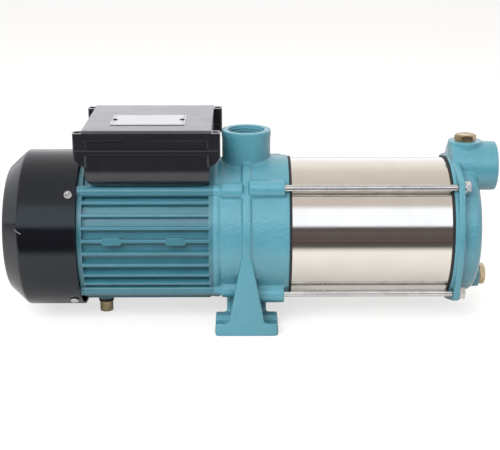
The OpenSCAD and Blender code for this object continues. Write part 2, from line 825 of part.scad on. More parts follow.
module motor_housing() {
    color(teal) difference() {
        union() {
            along_x(x_housing, x_joint - end_ring_w) housing_outline(true);
            along_x(x_joint - end_ring_w, x_joint) housing_outline(false);
            along_x(x_housing + saddle_ends[0], x_joint - saddle_ends[1])
                translate([-saddle_half, saddle_foot]) square([2 * saddle_half, saddle_rise - saddle_foot]);
            for (x = pad_places, side = [0, 180])
                on_shaft(x_housing + x) clock(side + (side == 0 ? 0.5 : -0.5) * fin_step)
                    rotate([0, 90, 0]) translate([0, 0, housing_r - 1])
                        linear_extrude(fin_tip_r - housing_r + 1.6) slot(pad_len, pad_w);
            translate([stud_x, 0, stud_len + collar_t]) cylinder(r = stud_boss_r, h = 12);
        }
        rod(x_housing - 1, x_joint + 1, stator_r + fit);
        // flat across the top of the end ring, level with the saddle
        translate([x_joint - end_ring_w - 1, -saddle_half, shaft_h + saddle_rise])
            cube([end_ring_w + 2, 2 * saddle_half, plate_r]);
        at_corners(x_housing - 1, bolt_circle_r) cylinder(r = through_r + 0.25, h = motor_len + 2);
        translate([cable_hole_x, 0, shaft_h]) cylinder(r = cable_hole_r, h = saddle_rise + 1);
        translate([stud_x, 0, stud_len]) cylinder(r = thread_r + fit, h = 12);
    }
}

module support_stud() {
    color(brass) translate([stud_x, 0, 0]) {
        cylinder(d = stud_d, h = stud_len);
        cylinder(r = thread_r, h = stud_len + collar_t + 8);
    }
}

module support_collar() {
    color(rubber) translate([stud_x, 0, stud_len]) difference() {
        cylinder(r = stud_d / 2 + 0.9, h = collar_t);
        translate([0, 0, -1]) cylinder(r = thread_r + fit, h = collar_t + 2);
    }
}

// Rear end shield: plate that closes the housing, bowl with the fan-end bearing, lugs for the cover's screws

module rear_end_shield() {
    hub_end = x_rear_bearing - washer_t - hub_back;
    inner = bowl_r - spigot_wall;
    color(teal) difference() {
        union() {
            turned([[inner, x_housing + spigot_len], [spigot_r, x_housing + spigot_len],
                    [spigot_r, x_housing - 1], [bowl_r, x_housing - 1],
                    [bowl_r, x_shield_back + 4], [bowl_r - 4, x_shield_back],
                    [rear_bearing[1], x_shield_back], [rear_bearing[1], x_shield_back + 3],
                    [inner - 2, x_shield_back + 3],
                    [inner, x_shield_back + 5]]);
            rod(hub_end, x_rear_bearing + rear_bearing[2] + 1, rear_bearing[1] + rear_hub_wall);
            along_x(x_shield, x_housing) difference() {
                housing_outline(false);
                circle(spigot_r - 1);
            }
            at_cover_screws(inner + 1) cylinder(r = lug_r, h = cover_d / 2 - cover_t - lug_gap - inner - 1);
        }
        rod(x_rear_bearing - washer_t, x_rear_bearing + rear_bearing[2] + 2, rear_bearing[1] + fit);
        rod(hub_end - 1, x_rear_bearing, rear_bearing[0] + 2);
        at_corners(x_shield - 1, bolt_circle_r) cylinder(r = through_r + 0.25, h = shield_t + 2);
        at_cover_screws(cover_d / 2 - cover_t - 8) cylinder(r = cover_screw_r + fit, h = 10);
    }
}

// Puts its children at each of the cover's screws, at a distance from the axis and pointing outward
module at_cover_screws(r) {
    for (a = corners)
        on_shaft(x_lug) clock(a - lug_turn) rotate([0, 90, 0]) translate([0, 0, r]) children();
}

module motor_through_bolts() {
    head_h = 2.9;
    color(steel) at_corners(x_shield - head_h, bolt_circle_r) {
        rotate([0, 0, 30]) hex(through_bolt_d * 1.6, head_h);
        cylinder(r = through_r, h = bolt_tip - x_shield + head_h - 1);
    }
}

module stator_core() {
    color("dimgray") tube(x_lamination, x_lamination_end, stator_r, rotor_r + air_gap);
}

module stator_windings() {
    color("peru") for (x = [x_lamination - winding_len, x_lamination_end])
        tube(x, x + winding_len, stator_r - 4.5, rotor_r + 4);
}

// Fan cover with its slotted end, and its screws

// Half section of a pressed cup: flat end, round edge, sloping shoulder and straight side
function cup_line(r, end_r, x_end, x_bend, edge_r, bend_r) =
    concat([[0, x_end]], round_corner([0, x_end], [end_r, x_end], [r, x_bend], edge_r),
           round_corner([end_r, x_end], [r, x_bend], [r, x_rim], bend_r), [[r, x_rim]]);

module fan_cover() {
    r = cover_d / 2;
    end_r = cover_end_d / 2;
    color(black) difference() {
        turned(concat(cup_line(r, end_r, x_fan_end, x_shoulder, cover_edge_r, cover_bend_r),
                      reversed(cup_line(r - cover_t, end_r - cover_t / 3, x_fan_end + cover_t,
                                        x_shoulder + cover_t / 3, cover_edge_r - cover_t,
                                        cover_bend_r - cover_t))));
        along_x(x_fan_end - 1, x_fan_end + cover_t + 1) difference() {
            for (k = [0:grille_rings - 1]) difference() {
                circle(grille_hub_r + (k + grille_open) * grille_step);
                circle(grille_hub_r + k * grille_step);
            }
            for (a = [0:60:120]) rotate(a) square([2 * r, grille_bar_w], center = true);
        }
        at_cover_screws(r - 5) cylinder(r = cover_screw_r + 0.2, h = 10);
    }
}

module fan_cover_screws() {
    r = cover_d / 2;
    dome = screw_head_h * 0.55;
    color(steel) {
        at_cover_screws(r - cover_t - 7) cylinder(r = cover_screw_r, h = cover_t + 7.5);
        at_cover_screws(r + 0.1) rotate_extrude()
            polygon(concat([[0, 0], [screw_head_r, 0]],
                           arc([screw_head_r - dome, screw_head_h - dome], dome, 0, 90, 5),
                           [[0, screw_head_h]]));
    }
}

// Terminal box

module box_outline() {
    translate([box_x, 0]) rounded(box_len, box_depth, 2.5);
    boss_outline();
}

module boss_outline() {
    for (sx = [-1, 1], sy = [-1, 1])
        translate([box_x + sx * (box_len / 2 + boss_reach / 2 - 2), sy * (box_depth - boss_depth) / 2])
            rounded(boss_reach + 4, boss_depth, 2.5);
}

module at_lid_screws() {
    for (sx = [-1, 1], sy = [-1, 1])
        translate([box_x + sx * (box_len / 2 + boss_reach / 2 - 0.3), sy * (box_depth / 2 - 6), 0])
            children();
}

// Outline of the base across the shaft: upright walls that curve in below and rest on the saddle
function base_profile() =
    let (c = [base_half - base_round, saddle_rise + lobe_top],
         side = concat([[base_half, saddle_rise + box_base_h], [base_half, c[1]]],
                       arc(c, base_round, 0, -base_sweep, 10),
                       [[c[0] + base_round * cos(base_sweep) - 2.5, c[1] - base_round * sin(base_sweep)],
                        [saddle_half + 0.6, saddle_rise]]))
    concat(side, flip(side));

// Outline of the base along the shaft, with tapered ends and round lower corners
function base_front() =
    let (r = 9, low = z_saddle + lobe_top - base_round * sin(base_sweep) - 1, taper = 2)
    concat([[box_x1 - 0.8, z_base]], arc([box_x1 - taper - r, low + 1 + r], r, 0, -90, 6),
           arc([box_x0 + taper + r, low + 1 + r], r, -90, -180, 6), [[box_x0 + 0.8, z_base]]);

module terminal_box_base() {
    gland_z = z_saddle + gland_rise;
    color(black) difference() {
        union() {
            intersection() {
                along_x(box_x0, box_x1) polygon(base_profile());
                along_y(-box_depth, box_depth) polygon(base_front());
            }
            translate([0, 0, z_base - base_flange_t]) linear_extrude(base_flange_t) box_outline();
            intersection() {
                translate([0, 0, z_base - boss_drop]) linear_extrude(boss_drop) boss_outline();
                along_y(-box_depth, box_depth) base_boss_front();
            }
            translate([gland_x, base_half - 6, gland_z]) rotate([-90, 0, 0])
                cylinder(r = gland_boss_r, h = 8);
        }
        translate([box_x0 + box_wall + 2, -base_half + box_wall, z_saddle + floor_t])
            cube([box_len - 2 * box_wall - 4, 2 * (base_half - box_wall), box_base_h]);
        translate([gland_x, base_half - 12, gland_z]) rotate([-90, 0, 0])
            cylinder(r = gland_thread_r + fit, h = 20);
        translate([cable_hole_x, 0, z_saddle - 1]) cylinder(r = cable_hole_r, h = floor_t + 2);
        at_lid_screws() translate([0, 0, z_base - boss_drop])
            cylinder(r = lid_screw_r + fit, h = boss_drop + 1);
    }
}

// Corner bosses seen from the front: upright outside, tapering in below
module base_boss_front() {
    for (s = [-1, 1]) {
        end = box_x + s * (box_len / 2 + boss_reach);
        polygon([[end, z_base], [end, z_base - 6], [end - s * 4, z_base - 11],
                 [end - s * (boss_reach + 1.5), z_base - boss_drop],
                 [end - s * (boss_reach + 6), z_base - boss_drop], [end - s * (boss_reach + 6), z_base]]);
    }
}

module terminal_box_gasket() {
    color(rubber) translate([0, 0, z_base]) linear_extrude(lid_gasket_t) difference() {
        box_outline();
        translate([box_x, 0]) rounded(box_len - 4 * box_wall, box_depth - 4 * box_wall, 2);
        at_lid_screws() circle(lid_screw_r + fit);
    }
}

// Lid with bevelled long edges and a shallow recess along the foot of its front and back
module terminal_box_lid() {
    half = box_depth / 2;
    bevel_y = half - lid_bevel[0];
    edge = z_top - shaft_h - lid_bevel[1];
    lid_rise = z_lid - shaft_h;
    recessed = half - lid_recess[0];
    side = [[bevel_y, z_top - shaft_h], [half, edge], [half, lid_rise + lid_recess[2]],
            [recessed, lid_rise + lid_recess[1]], [recessed, lid_rise]];
    color(black) difference() {
        union() {
            intersection() {
                translate([box_x, 0, z_lid]) linear_extrude(box_lid_h) rounded(box_len, box_depth, 2.5);
                along_x(box_x0 - 1, box_x1 + 1) polygon(concat(side, flip(side)));
            }
            translate([0, 0, z_lid]) linear_extrude(box_lid_h - lid_bevel[1] - boss_step + 1) boss_outline();
        }
        translate([box_x, 0, z_lid - 1]) linear_extrude(box_lid_h + 1 - box_wall)
            rounded(box_len - 2 * box_wall, box_depth - 2 * box_wall, 2);
        at_lid_screws() {
            translate([0, 0, z_lid - 1]) cylinder(r = lid_screw_r + fit, h = box_lid_h + 2);
            translate([0, 0, z_screw_seat()]) cylinder(r = lid_head_r + seat, h = box_lid_h);
        }
        for (s = [-1, 1]) translate([plate_x + s * rivet_pitch / 2, plate_y, z_top - box_wall - 1])
            cylinder(r = rivet_r + fit, h = box_wall + 2);
    }
}

function z_screw_seat() = z_top - lid_bevel[1] - boss_step + 1 - lid_screw_sink;

module terminal_lid_screws() {
    color(steel) at_lid_screws() {
        translate([0, 0, z_base - boss_drop + 3])
            cylinder(r = lid_screw_r, h = z_screw_seat() - z_base + boss_drop - 2);
        translate([0, 0, z_screw_seat()]) cylinder(r = lid_head_r, h = lid_head_h);
    }
}

module nameplate() {
    color("silver") translate([plate_x, plate_y, z_top]) difference() {
        linear_extrude(plate_size[2]) rounded(plate_size[0], plate_size[1], 1);
        for (s = [-1, 1]) translate([s * rivet_pitch / 2, 0, -1]) cylinder(r = rivet_r + fit, h = 3);
    }
}

module nameplate_rivets() {
    color(steel) for (s = [-1, 1]) translate([plate_x + s * rivet_pitch / 2, plate_y, z_top]) {
        translate([0, 0, -box_wall]) cylinder(r = rivet_r, h = box_wall + 1);
        translate([0, 0, plate_size[2]]) cylinder(r1 = rivet_head_r, r2 = rivet_head_r * 0.6, h = 0.8);
    }
}

module capacitor() {
    z = z_saddle + floor_t + seat + capacitor_d / 2;
    far = capacitor_len + capacitor_top;
    color("lightgray") translate([box_x - far / 2, box_depth / 4 - 2, z]) rotate([0, 90, 0]) {
        cylinder(d = capacitor_d, h = capacitor_len);
        cylinder(d = capacitor_d - 4, h = far);
        for (s = [-1, 1]) translate([-tab_size[1] / 2, s * 5 - tab_size[2] / 2, far - 1])
            cube([tab_size[1], tab_size[2], tab_size[0] + 1]);
    }
}

module terminal_block() {
    way = terminal_size[0] / terminal_ways;
    color("ivory")
        translate([box_x - terminal_size[0] / 2, -box_depth / 4 - terminal_size[1] / 2,
                   z_saddle + floor_t + seat])
            difference() {
                cube(terminal_size);
                for (k = [0:terminal_ways - 1], s = [-1, 1])
                    translate([(k + 0.5) * way, (terminal_size[1] + s * way_pitch) / 2, 4])
                        cylinder(r = way_r, h = terminal_size[2]);
            }
}

// Cable gland, drawn along +Y from the face of its boss
module at_gland() translate([gland_x, base_half + 2, z_saddle + gland_rise]) rotate([-90, 0, 0]) children();

module gland_body() {
    color(black) at_gland() difference() {
        union() {
            translate([0, 0, -8.5]) cylinder(r = gland_thread_r, h = 9);
            rotate([0, 0, 30]) hex(gland_flats, gland_hex_t);
            cylinder(r = gland_neck_r, h = gland_hex_t + gland_neck_len);
        }
        translate([0, 0, -10]) cylinder(r = cable_r + 0.8, h = 20);
        translate([0, 0, 1]) cylinder(r = gland_seal_r + fit, h = 20);
    }
}

module gland_nut() {
    color(black) at_gland() difference() {
        translate([0, 0, gland_hex_t + 0.4]) {
            cylinder(r = gland_nut_r, h = gland_nut_len - 4);
            translate([0, 0, gland_nut_len - 4]) cylinder(r1 = gland_nut_r, r2 = gland_nut_r - 3, h = 4);
        }
        translate([0, 0, gland_hex_t]) cylinder(r = gland_neck_r + fit, h = gland_neck_len + 1);
        translate([0, 0, gland_hex_t]) cylinder(r = gland_seal_r + fit, h = gland_nut_len - 2);
        cylinder(r = cable_r + 0.8, h = gland_bore_len);
    }
}

module gland_seal() {
    color(rubber) at_gland() difference() {
        translate([0, 0, 1]) cylinder(r = gland_seal_r, h = gland_hex_t + gland_nut_len - 3.2);
        cylinder(r = cable_r, h = gland_bore_len);
    }
}

// Priming plug and drain plug: the same brass plug, each with its sealing washer

module plug_shape() {
    flats = plug_flats;
    intersection() {
        translate([0, 0, plug_washer_t]) hex(flats, plug_hex_h);
        translate([0, 0, plug_washer_t]) {
            cylinder(r = flats, h = plug_hex_h - 1.2);
            translate([0, 0, plug_hex_h - 1.2])
                cylinder(r1 = flats / 2 + 1.6, r2 = flats / 2 - 0.5, h = 1.2);
        }
    }
    translate([0, 0, -plug_thread_len]) cylinder(r = plug_r, h = plug_thread_len + plug_washer_t + 1);
}

module washer_shape() {
    difference() {
        cylinder(r = plug_flats / 2 + 0.4, h = plug_washer_t);
        translate([0, 0, -1]) cylinder(r = plug_r + fit, h = plug_washer_t + 2);
    }
}

module at_priming() translate([x_plug, 0, shaft_h + plug_boss_rise]) children();
module at_drain() on_shaft(x_drain) translate([0, -drain_drop, 0]) children();

module priming_plug() color(brass) at_priming() plug_shape();
module priming_washer() color("peru") at_priming() washer_shape();
module drain_plug() color(brass) at_drain() plug_shape();
module drain_washer() color("peru") at_drain() washer_shape();

// Rotor: everything that turns with the shaft

module shaft() {
    rear = rear_bearing[0];
    drive = drive_bearing[0];
    color(steel) turned([
        [0, x_fan - clip_t - shaft_tail], [rear - 0.5, x_fan - clip_t - shaft_tail],
        [rear - 0.5, x_rear_bearing - 4], [rear, x_rear_bearing - 4],
        [rear, x_rear_bearing + rear_bearing[2]],
        [rear + 1.5, x_rear_bearing + rear_bearing[2]], [rear + 1.5, x_lamination - rotor_ring_len],
        [core_r, x_lamination - rotor_ring_len], [core_r, x_lamination_end + rotor_ring_len],
        [shoulder_r, x_lamination_end + rotor_ring_len], [shoulder_r, x_drive_bearing - 2],
        [drive + 2, x_drive_bearing - 2], [drive + 2, x_drive_bearing], [drive, x_drive_bearing],
        [drive, x_drive_bearing + drive_bearing[2] + 3], [shaft_r, x_drive_bearing + drive_bearing[2] + 4],
        [shaft_r, last_hub], [nut_r, last_hub + 0.1], [nut_r, last_hub + impeller_nut_h + 4],
        [0, last_hub + impeller_nut_h + 4]]);
}

module rotor_core() color("dimgray") tube(x_lamination, x_lamination_end, rotor_r, core_r + fit);

module rotor_end_rings() {
    color("silver") for (x = [x_lamination - rotor_ring_len, x_lamination_end])
        tube(x, x + rotor_ring_len, rotor_r - 0.5, rotor_r - 10);
}

module cooling_fan() {
    color(black) difference() {
        union() {
            rod(x_fan, x_fan + blade_w + fan_disc_t, fan_hub_r);
            rod(x_fan + blade_w, x_fan + blade_w + fan_disc_t, fan_r);
            for (k = [0:fan_blades - 1]) on_shaft(x_fan + 1) rotate([0, 0, k * 360 / fan_blades])
                translate([fan_hub_r - 1, -blade_t / 2, 0]) cube([fan_r - fan_hub_r, blade_t, blade_w]);
        }
        rod(x_fan - 1, x_fan + blade_w + fan_disc_t + 1, rear_bearing[0] - 0.5 + fit);
    }
}

module fan_clip() {
    color(steel) tube(x_fan - clip_t, x_fan, rear_bearing[0] + 2, rear_bearing[0] - 0.5 + fit);
}

pump_casing();
suction_cover();
pump_sleeve();
sleeve_gaskets();
tie_rods();
tie_rod_nuts();
tie_rod_washers();
inlet_plate();
seal_seat();
bearing_outer(x_drive_bearing, drive_bearing);  // drive_bearing_outer
bearing_balls(x_drive_bearing, drive_bearing);  // drive_bearing_balls
bearing_inner(x_drive_bearing, drive_bearing);  // drive_bearing_inner
bearing_outer(x_rear_bearing, rear_bearing);  // rear_bearing_outer
bearing_balls(x_rear_bearing, rear_bearing);  // rear_bearing_balls
bearing_inner(x_rear_bearing, rear_bearing);  // rear_bearing_inner
wave_washer();
motor_housing();
rear_end_shield();
motor_through_bolts();
stator_core();
stator_windings();
fan_cover();
fan_cover_screws();
terminal_box_base();
terminal_box_gasket();
terminal_box_lid();
terminal_lid_screws();
nameplate();
nameplate_rivets();
capacitor();
terminal_block();
gland_body();
gland_nut();
gland_seal();
support_stud();
support_collar();
priming_plug();
priming_washer();
drain_plug();
drain_washer();
shaft();
rotor_core();
rotor_end_rings();
cooling_fan();
fan_clip();
impeller_spacers();
impeller_nut();
seal_head();
seal_spring();
water_slinger();
for (i = [1:stages]) diffuser(i);
for (i = [1:stages]) impeller(i);
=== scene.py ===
"""Looks of a self-priming pump: painted castings, polished sleeve, finned motor and black fittings."""
import json
import math

import bmesh
import bpy
import numpy as np
from mathutils import Matrix, Vector


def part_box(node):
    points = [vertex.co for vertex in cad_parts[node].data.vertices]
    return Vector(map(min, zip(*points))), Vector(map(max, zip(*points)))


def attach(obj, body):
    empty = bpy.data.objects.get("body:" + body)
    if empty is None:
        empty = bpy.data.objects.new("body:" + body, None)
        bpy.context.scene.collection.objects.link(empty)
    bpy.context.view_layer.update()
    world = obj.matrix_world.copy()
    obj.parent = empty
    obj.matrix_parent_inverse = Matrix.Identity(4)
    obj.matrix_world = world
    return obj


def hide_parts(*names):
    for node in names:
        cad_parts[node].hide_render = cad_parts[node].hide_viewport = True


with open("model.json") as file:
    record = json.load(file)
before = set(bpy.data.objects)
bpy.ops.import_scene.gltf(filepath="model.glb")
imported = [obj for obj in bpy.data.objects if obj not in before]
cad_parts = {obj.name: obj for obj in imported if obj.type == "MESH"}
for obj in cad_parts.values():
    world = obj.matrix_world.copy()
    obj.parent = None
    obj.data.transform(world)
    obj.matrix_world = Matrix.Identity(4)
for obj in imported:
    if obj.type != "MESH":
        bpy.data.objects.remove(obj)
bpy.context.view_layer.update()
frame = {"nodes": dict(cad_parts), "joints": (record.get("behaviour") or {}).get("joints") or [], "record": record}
NODES = frame["nodes"]
MOUNTS = {mount["name"]: mount for mount in frame["record"]["mounts"]}
SLOTS = {part["node"]: part["material_slot"] for part in frame["record"]["subparts"]}
BODY_OF = {node: body for body, nodes in frame["record"]["behaviour"]["bodies"].items() for node in nodes}

MM = 0.001
SCENE = bpy.context.scene
SHAFT_Z = frame["joints"][0]["pos_m"][2]


# Shader values and node trees

class Value:
    """A shader socket that takes part in arithmetic, where each operation adds a Math node."""

    def __init__(self, paint, socket):
        self.paint = paint
        self.socket = socket

    def math(self, operation, first, second=0.0):
        return self.paint.node("ShaderNodeMath", {"operation": operation}, {0: first, 1: second})

    def __add__(self, other):
        return self.math("ADD", self, other)

    def __sub__(self, other):
        return self.math("SUBTRACT", self, other)

    def __rsub__(self, other):
        return self.math("SUBTRACT", other, self)

    def __mul__(self, other):
        return self.math("MULTIPLY", self, other)

    def __truediv__(self, other):
        return self.math("DIVIDE", self, other)

    def __neg__(self):
        return self.math("MULTIPLY", self, -1.0)

    __radd__ = __add__
    __rmul__ = __mul__

    def below(self, level):
        return self.math("LESS_THAN", self, level)

    def absolute(self):
        return self.math("ABSOLUTE", self)

    def ramp(self, low, high, start=0.0, end=1.0):
        """Moves evenly from start to end while this value goes from low to high."""
        return self.paint.node(
            "ShaderNodeMapRange", {"clamp": True},
            {"Value": self, "From Min": low, "From Max": high, "To Min": start, "To Max": end})

    def part(self, axis):
        """One component of this vector, 0 to 2."""
        return self.paint.node("ShaderNodeSeparateXYZ", {}, {0: self}, axis)


class Paint:
    """A node tree under construction, for a material or the world."""

    def __init__(self, holder):
        holder.use_nodes = True
        self.holder = holder
        self.tree = holder.node_tree
        self.tree.nodes.clear()

    def node(self, kind, settings=None, inputs=None, output=0):
        made = self.tree.nodes.new(kind)
        for name, value in (settings or {}).items():
            if name == "stops":
                self.fill_ramp(made.color_ramp, value)
            else:
                setattr(made, name, value)
        for name, value in (inputs or {}).items():
            if isinstance(value, Value):
                self.tree.links.new(value.socket, made.inputs[name])
            else:
                made.inputs[name].default_value = value
        return Value(self, made.outputs[output]) if len(made.outputs) else None

    @staticmethod
    def fill_ramp(ramp, stops):
        while len(ramp.elements) < len(stops):
            ramp.elements.new(1.0)
        for element, (place, colour) in zip(ramp.elements, stops):
            element.position = place
            element.color = rgba(colour)

    def place(self):
        """Position in the object's own frame, in metres, which is the row frame at rest."""
        return self.node("ShaderNodeTexCoord", {}, {}, "Object")

    def stretched(self, x=1.0, y=1.0, z=1.0):
        """Position with each axis scaled, for grain that runs one way."""
        return self.node("ShaderNodeVectorMath", {"operation": "MULTIPLY"}, {0: self.place(), 1: (x, y, z)})

    def noise(self, size, detail=2.0, roughness=0.5, place=None):
        """Noise whose lumps are about this size in metres, from 0 to 1."""
        return self.node("ShaderNodeTexNoise", {},
                         {"Vector": place or self.place(), "Scale": 1.0 / size, "Detail": detail,
                          "Roughness": roughness})

    def mix(self, amount, first, second):
        """Blends two colours."""
        colours = [c if isinstance(c, Value) else rgba(c) for c in (first, second)]
        return self.node("ShaderNodeMix", {"data_type": "RGBA"},
                         {0: amount, 6: colours[0], 7: colours[1]}, 2)

    def rounded_normal(self, radius):
        """Normal that turns smoothly over edges of this radius."""
        return self.node("ShaderNodeBevel", {"samples": 6}, {"Radius": radius})

    def edge_mask(self, radius):
        """1 along edges and 0 on open faces."""
        flat = self.node("ShaderNodeNewGeometry", {}, {}, "Normal")
        turn = self.node("ShaderNodeVectorMath", {"operation": "DOT_PRODUCT"},
                         {0: self.rounded_normal(radius), 1: flat}, 1)
        return (1.0 - turn).ramp(0.0, 0.12)

    def bump(self, height, distance, edge_radius=0.0):
        """Normal over rounded edges, where a height of 1 stands for distance in metres."""
        inputs = {"Height": height, "Distance": distance, "Strength": 1.0}
        if edge_radius:
            inputs["Normal"] = self.rounded_normal(edge_radius)
        return self.node("ShaderNodeBump", {}, inputs)

    def finish_surface(self, **inputs):
        """Ends the tree in one surface shader, with words for its sockets."""
        named = {name.replace("_", " ").title().replace("Ior", "IOR"): value
                 for name, value in inputs.items()}
        if "Base Color" in named and not isinstance(named["Base Color"], Value):
            named["Base Color"] = rgba(named["Base Color"])
        shader = self.node("ShaderNodeBsdfPrincipled", {}, named)
        self.node("ShaderNodeOutputMaterial", {}, {"Surface": shader})
        return self.holder


def rgba(colour):
    return (*colour[:3], colour[3] if len(colour) > 3 else 1.0)


def material(name):
    return Paint(bpy.data.materials.new(name))


# Finishes

TEAL = (0.065, 0.220, 0.275)                 # thick enamel on the castings
TEAL_DEEP = (0.035, 0.165, 0.210)
# lighter teal for edges: partly worn paint, partly painted highlight
TEAL_WEAR_AND_HIGHLIGHT = (0.200, 0.450, 0.520)
SCRATCH = ((-198 * MM, 98 * MM), (-192 * MM, 95 * MM))    # its ends in X and Z, on the fan cover
SCRATCH_HALF_WIDTH = 0.16 * MM
TEAL_HOUSING_PARTLY_SHADED = (0.034, 0.132, 0.170)         # thinner and darker on the motor's aluminium; the darker tone is partly painted shade under the terminal box


def teal_casting():
    """Enamel on sand-cast iron: coarse grain under a glossy coat that runs thick in corners."""
    paint = material("teal_casting")
    patches = paint.noise(26 * MM, 3.0)
    grain = paint.noise(2.6 * MM, 3.0, 0.55)
    pits = paint.noise(1.4 * MM, 2.0)
    colour = paint.mix(patches.ramp(0.3, 0.7), TEAL, tuple(0.88 * c for c in TEAL))
    colour = paint.mix(grain.ramp(0.25, 0.5, 0.25, 0.0), colour, TEAL_DEEP)
    # edges painted lighter: partly worn paint, partly painted highlight
    colour = paint.mix(paint.edge_mask(1.2 * MM) * 0.25, colour, TEAL_WEAR_AND_HIGHLIGHT)
    height = grain * 0.7 + pits * 0.3
    return paint.finish_surface(
        base_color=colour, roughness=patches.ramp(0.2, 0.8, 0.13, 0.19), specular_ior_level=0.8,
        normal=paint.bump(height, 0.75 * MM, 0.5 * MM))


def teal_aluminium():
    """The same enamel on smooth extruded aluminium, thin, drawn darker partly as painted shade, and painted
    lighter on the fins' edges, partly as wear and partly as painted highlight.
    """
    paint = material("teal_aluminium")
    patches = paint.noise(20 * MM, 2.0)
    peel = paint.noise(1.6 * MM, 2.0)
    # darker teal: partly painted shade under the terminal box
    colour = paint.mix(patches.ramp(0.3, 0.7), TEAL_HOUSING_PARTLY_SHADED, tuple(0.88 * c for c in TEAL_HOUSING_PARTLY_SHADED))
    # fins' edges painted lighter: partly worn paint, partly painted highlight
    colour = paint.mix(paint.edge_mask(0.5 * MM) * 0.45, colour, TEAL_WEAR_AND_HIGHLIGHT)
    return paint.finish_surface(
        base_color=colour, roughness=patches.ramp(0.2, 0.8, 0.20, 0.27), specular_ior_level=0.8,
        normal=paint.bump(peel, 0.02 * MM))


def black_paint():
    """Satin black paint on pressed steel, with fine orange peel and a few rubs."""
    paint = material("black_paint")
    peel = paint.noise(1.1 * MM, 2.0)
    cloud = paint.noise(30 * MM, 3.0)
    rubs = paint.noise(7 * MM, 4.0, 0.7, paint.stretched(1.0, 0.15, 0.15))
    (x0, z0), (x1, z1) = SCRATCH
    length = math.hypot(x1 - x0, z1 - z0)
    place = paint.place()
    from_x, from_z = place.part(0) - x0, place.part(2) - z0
    along = (from_x * (x1 - x0) + from_z * (z1 - z0)) / length
    aside = (from_x * (z1 - z0) - from_z * (x1 - x0)) / length
    scratch = aside.absolute().below(SCRATCH_HALF_WIDTH)
    scratch = scratch * (along - length / 2).absolute().below(length / 2)
    scratch = scratch * place.part(1).below(0.0)
    colour = paint.mix(cloud.ramp(0.3, 0.7), (0.0018, 0.0022, 0.0036), (0.003, 0.0036, 0.006))
    colour = paint.mix(rubs.ramp(0.70, 0.80, 0.0, 0.12), colour, (0.10, 0.10, 0.10))
    colour = paint.mix(scratch * 0.6, colour, (0.55, 0.56, 0.58))
    return paint.finish_surface(
        base_color=colour, roughness=cloud.ramp(0.3, 0.7, 0.14, 0.18),
        specular_ior_level=0.54, specular_tint=(0.84, 0.92, 1.0, 1.0),
        normal=paint.bump(peel, 0.012 * MM, 0.7 * MM))


def black_plastic():
    """Glossy moulded plastic with a faint spark-eroded texture and edges painted a little lighter, partly as wear
    and partly as painted highlight.
    """
    paint = material("black_plastic")
    texture = paint.noise(0.7 * MM, 2.0)
    smears = paint.noise(16 * MM, 4.0, 0.6)
    # edges painted lighter: partly worn, partly painted highlight
    colour = paint.mix(paint.edge_mask(0.6 * MM) * 0.4, (0.007, 0.008, 0.011), (0.07, 0.07, 0.08))
    return paint.finish_surface(
        base_color=colour, roughness=smears.ramp(0.3, 0.7, 0.18, 0.30),
        coat_weight=0.6, coat_roughness=0.12,
        normal=paint.bump(texture, 0.015 * MM, 0.8 * MM))


def polished_stainless():
    """Tube polished to a mirror, with fine rings left by the polishing belt and a few cloudy patches."""
    paint = material("polished_stainless")
    rings = paint.noise(0.35 * MM, 3.0, 0.6, paint.stretched(1.0, 0.02, 0.02))
    cloud = paint.noise(22 * MM, 3.0, 0.6)
    colour = paint.mix(cloud.ramp(0.3, 0.7), (0.80, 0.765, 0.715), (0.76, 0.725, 0.675))
    return paint.finish_surface(
        base_color=colour, metallic=1.0, roughness=cloud.ramp(0.3, 0.7, 0.085, 0.12),
        normal=paint.bump(rings, 0.0012 * MM))


def ground_steel(name, colour, roughness, scratch=0.5 * MM, edge=0.25 * MM, depth=0.012 * MM):
    """Bare or zinc-plated steel with fine scratches."""
    paint = material(name)
    scratches = paint.noise(scratch, 3.0, 0.6)
    stains = paint.noise(9 * MM, 3.0)
    shade = paint.mix(stains.ramp(0.35, 0.7), colour, tuple(0.8 * c for c in colour))
    return paint.finish_surface(
        base_color=shade, metallic=1.0, roughness=stains.ramp(0.3, 0.7, roughness, roughness + 0.12),
        normal=paint.bump(scratches, depth, edge))


def turned_brass():
    """Turned brass, dulled in patches, with tool rings."""
    paint = material("brass")
    tarnish = paint.noise(5 * MM, 4.0, 0.6)
    rings = paint.noise(0.4 * MM, 2.0, 0.5, paint.stretched(1.0, 1.0, 0.3))
    colour = paint.mix(tarnish.ramp(0.35, 0.7), (0.59, 0.47, 0.30), (0.40, 0.30, 0.16))
    return paint.finish_surface(
        base_color=colour, metallic=1.0, roughness=tarnish.ramp(0.3, 0.7, 0.26, 0.42),
        normal=paint.bump(rings, 0.015 * MM, 0.35 * MM))


def brushed_plate():
    """Aluminium plate brushed lengthwise, left bare inside a fine dark border."""
    paint = material("plate_aluminium")
    low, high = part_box("nameplate")
    middle = (low + high) / 2
    reach = paint.node("ShaderNodeVectorMath", {"operation": "SUBTRACT"}, {0: paint.place(), 1: middle})
    border = 1.6 * MM
    line = 0.35 * MM
    from_edge_x = (high.x - middle.x) - reach.part(0).absolute()
    from_edge_y = (high.y - middle.y) - reach.part(1).absolute()
    nearest = paint.node("ShaderNodeMath", {"operation": "MINIMUM"}, {0: from_edge_x, 1: from_edge_y})
    ink = (nearest - border).absolute().below(line)
    brushing = paint.noise(0.5 * MM, 2.0, 0.6, paint.stretched(0.02, 1.0, 1.0))
    colour = paint.mix(brushing.ramp(0.3, 0.7), (0.80, 0.80, 0.81), (0.70, 0.70, 0.71))
    colour = paint.mix(ink * 0.8, colour, (0.05, 0.05, 0.05))
    return paint.finish_surface(
        base_color=colour, metallic=1.0 - ink, roughness=brushing.ramp(0.3, 0.7, 0.32, 0.45),
        normal=paint.bump(brushing, 0.008 * MM, 0.2 * MM))


